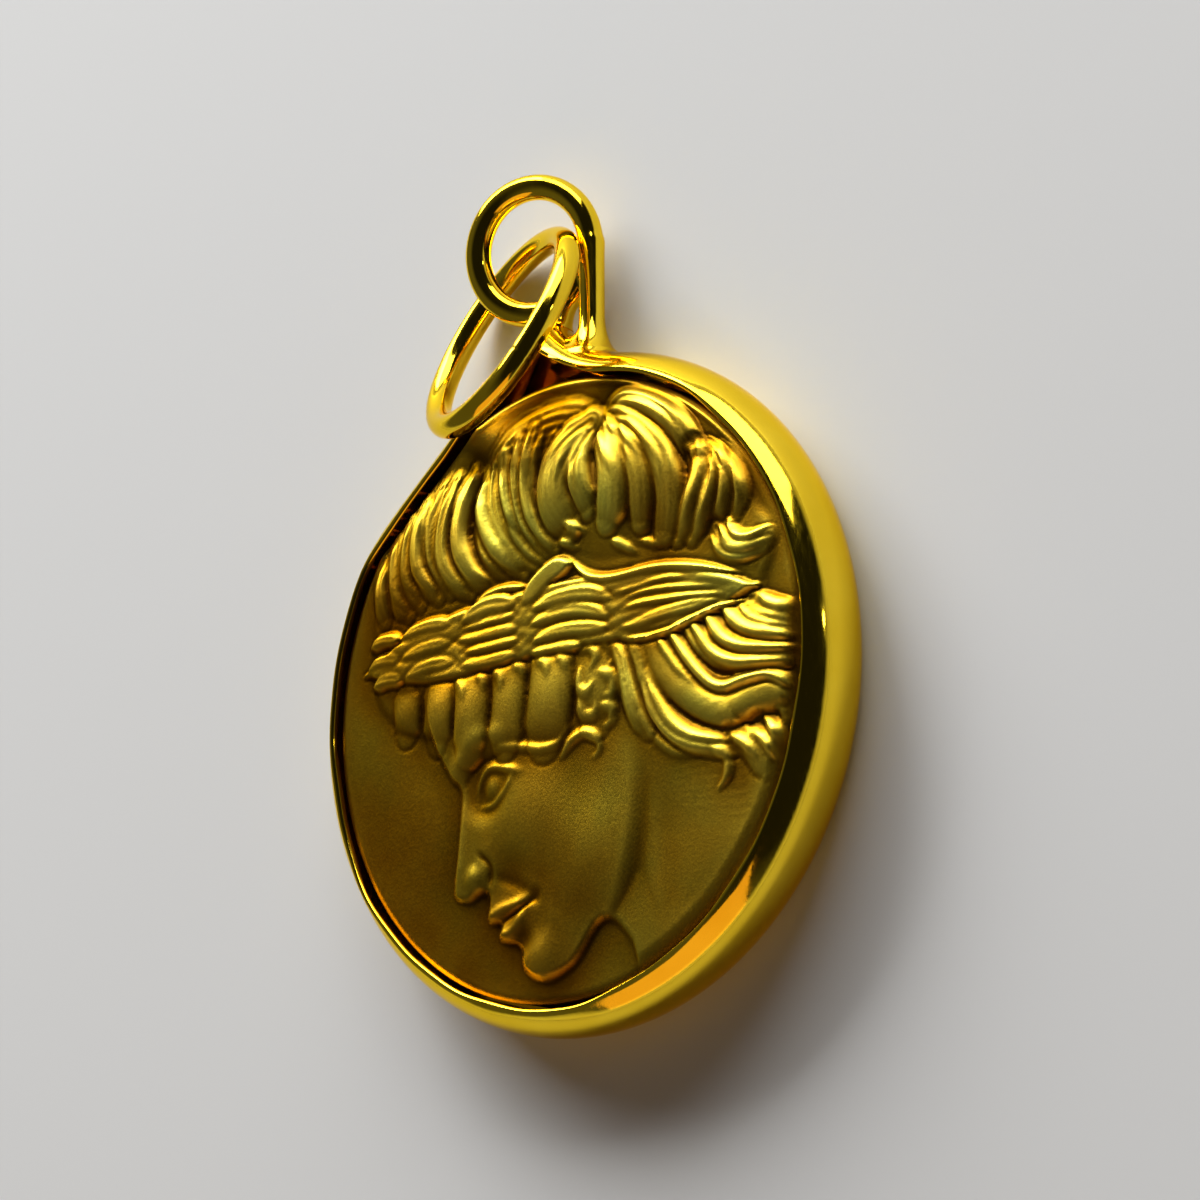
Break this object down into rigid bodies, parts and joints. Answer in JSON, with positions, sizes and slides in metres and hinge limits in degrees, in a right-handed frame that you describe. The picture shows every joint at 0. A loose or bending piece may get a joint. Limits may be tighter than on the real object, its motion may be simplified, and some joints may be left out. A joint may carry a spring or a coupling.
{
  "type": "coin pendant",
  "caption": "Round pendant: a struck coin with a laureate profile head, set in a half-round rim with a pointed top, a wire hanging loop and a loose jump ring.",
  "frame": {"origin": "on the coin's axis, in the back plane that the pendant lies on", "axes": "+Z out of the coin's face, +Y from the coin to the hanging loop, +X to the right seen from the front"},
  "size_m": [0.0227, 0.0296, 0.0048],
  "materials": {
    "polished_gold": "polished",
    "satin_gold": "satin, struck relief"
  },
  "bodies": {
    "root": {"bezel": "polished_gold", "coin": "satin_gold", "jump_ring": "polished_gold"}
  },
  "joints": []
}
